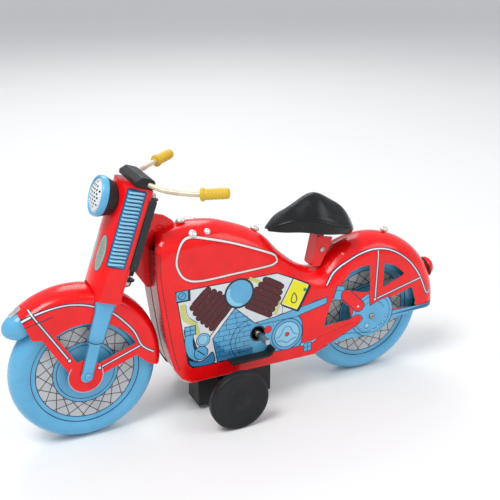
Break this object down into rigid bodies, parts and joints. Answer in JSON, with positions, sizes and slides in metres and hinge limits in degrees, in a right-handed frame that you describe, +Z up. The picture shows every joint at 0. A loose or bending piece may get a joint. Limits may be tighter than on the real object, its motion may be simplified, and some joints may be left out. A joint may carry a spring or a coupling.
{
  "type": "tin wind-up motorcycle",
  "caption": "Tin wind-up toy motorcycle with pressed body halves, a steered fork and a clockwork motor that turns low side wheels.",
  "frame": {"origin": "on the ground, at the middle of the toy's length and width", "axes": "+X towards the rear, -X towards the headlamp, -Y to the rider's left side, +Z up"},
  "size_m": [0.2203, 0.0696, 0.1219],
  "materials": {
    "red_tin": "glossy lithographed tin, bright red",
    "blue_tin": "glossy lithographed tin, light blue",
    "black_tin": "satin black painted tin",
    "bare_tin": "bright bare tin",
    "steel": "plain drawn steel",
    "brass": "stamped brass",
    "seat_plastic": "glossy black plastic",
    "tyre_plastic": "satin black plastic",
    "grip_plastic": "gold-yellow plastic",
    "lens": "pale printed lens"
  },
  "bodies": {
    "body": {"body_shell_left": "red_tin", "body_shell_right": "red_tin", "seam_tab_tank": "bare_tin", "seam_tab_saddle": "bare_tin", "seam_tab_fender": "bare_tin", "tank_cap_large_left": "bare_tin", "tank_cap_large_right": "bare_tin", "tank_cap_small_left": "bare_tin", "tank_cap_small_right": "bare_tin", "seat": "seat_plastic", "seat_post": "red_tin", "tail_lamp": "red_tin", "footboard_left": "black_tin", "footboard_right": "black_tin", "rear_axle": "steel", "steering_bracket": "red_tin", "motor_plate_left": "black_tin", "motor_plate_right": "black_tin", "motor_cover": "black_tin", "motor_pillar_1": "steel", "motor_pillar_2": "steel", "motor_pillar_3": "steel", "motor_pillar_4": "steel", "mainspring": "steel"},
    "fork": {"fork_housing": "red_tin", "fork_leg_left": "blue_tin", "fork_leg_right": "blue_tin", "steering_pin": "steel", "headlamp_bucket": "black_tin", "headlamp_rim": "blue_tin", "headlamp_lens": "lens", "handlebar_clamp": "black_tin", "handlebar": "bare_tin", "grip_left": "grip_plastic", "grip_right": "grip_plastic", "front_fender_left": "red_tin", "front_fender_right": "red_tin", "fender_lamp": "blue_tin", "front_axle": "steel"},
    "front_wheel": {"front_wheel_left": "blue_tin", "front_wheel_right": "blue_tin"},
    "rear_wheel": {"rear_wheel_left": "blue_tin", "rear_wheel_right": "blue_tin"},
    "drive_wheels": {"drive_axle": "steel", "drive_pinion": "steel", "drive_wheel_left": "tyre_plastic", "drive_wheel_right": "tyre_plastic"},
    "intermediate": {"intermediate_arbor": "steel", "intermediate_gear": "brass", "intermediate_pinion": "steel"},
    "great_wheel": {"great_wheel": "brass", "click": "steel"},
    "winding_shaft": {"winding_arbor": "steel", "ratchet_wheel": "brass"}
  },
  "joints": [
    {"name": "steering", "type": "hinge", "parent": "body", "child": "fork", "pos_m": [-0.06919, 0, 0.03016], "axis": [0.3338, 0, 0.9426], "range_deg": [-20, 20]},
    {"name": "front_wheel_spin", "type": "hinge", "parent": "fork", "child": "front_wheel", "pos_m": [-0.0772, 0, 0.033], "axis": [0, 1, 0], "continuous": true},
    {"name": "rear_wheel_spin", "type": "hinge", "parent": "body", "child": "rear_wheel", "pos_m": [0.0671, 0, 0.033], "axis": [0, 1, 0], "continuous": true},
    {"name": "drive_spin", "type": "hinge", "parent": "body", "child": "drive_wheels", "pos_m": [-0.0132, 0, 0.0144], "axis": [0, 1, 0], "continuous": true},
    {"name": "intermediate_spin", "type": "hinge", "parent": "body", "child": "intermediate", "pos_m": [-0.01187, 0, 0.02834], "axis": [0, 1, 0], "continuous": true},
    {"name": "great_wheel_spin", "type": "hinge", "parent": "body", "child": "great_wheel", "pos_m": [0.0038, 0, 0.0372], "axis": [0, 1, 0], "continuous": true},
    {"name": "winding_spin", "type": "hinge", "parent": "body", "child": "winding_shaft", "pos_m": [0.0038, 0, 0.0372], "axis": [0, 1, 0], "continuous": true}
  ],
  "couplings": [
    {"joint": "intermediate_spin", "follows": "drive_spin", "ratio": -0.4},
    {"joint": "great_wheel_spin", "follows": "drive_spin", "ratio": 0.11429}
  ]
}
